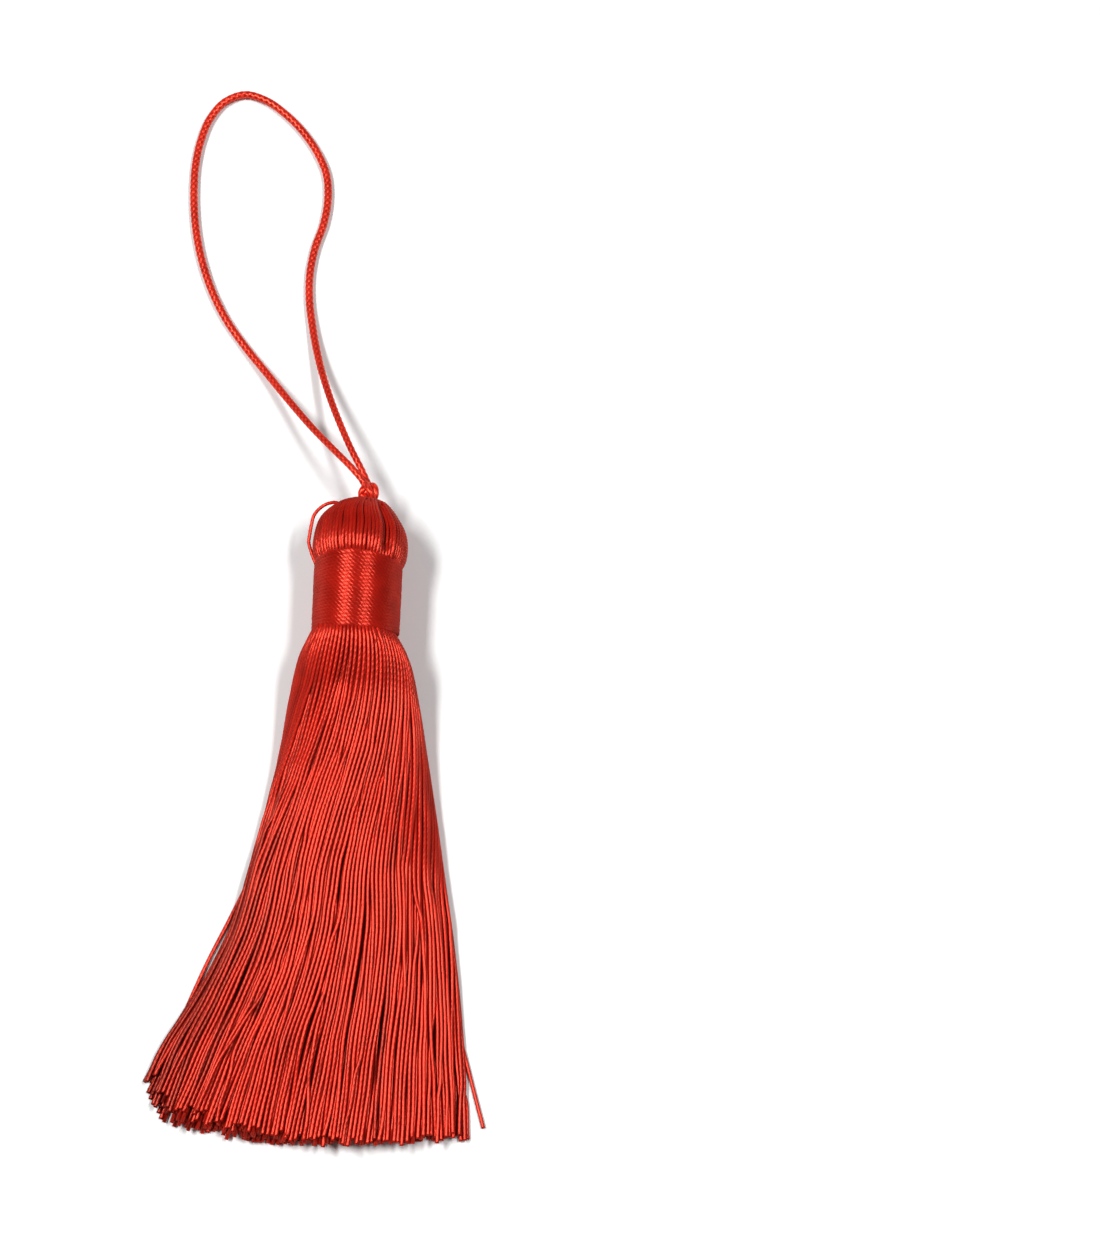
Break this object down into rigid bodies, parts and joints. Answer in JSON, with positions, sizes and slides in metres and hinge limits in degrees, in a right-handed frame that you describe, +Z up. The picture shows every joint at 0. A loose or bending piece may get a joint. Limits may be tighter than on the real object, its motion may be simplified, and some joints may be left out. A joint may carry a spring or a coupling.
{
  "type": "silk tassel",
  "caption": "Yarn tassel lying on its side: rounded head, wound binding, fanned skirt of loose strands, and a long thin hanging loop tied in a small knot",
  "frame": {"origin": "middle of the small flat spot under the head, on the surface that the tassel lies on", "axes": "+Z up, +Y along the tassel's axis from the skirt to the head and the loop, +X to the right seen from above with the loop away"},
  "size_m": [0.046, 0.1424, 0.0123],
  "materials": {
    "yarn": "silky twisted yarn, vermilion red",
    "winding": "silky twisted yarn wound side by side, vermilion red",
    "cord": "silky braided cord, vermilion red"
  },
  "bodies": {
    "root": {"bundle": "yarn", "binding": "winding", "knot": "cord", "hanging_loop": "cord"}
  },
  "joints": []
}
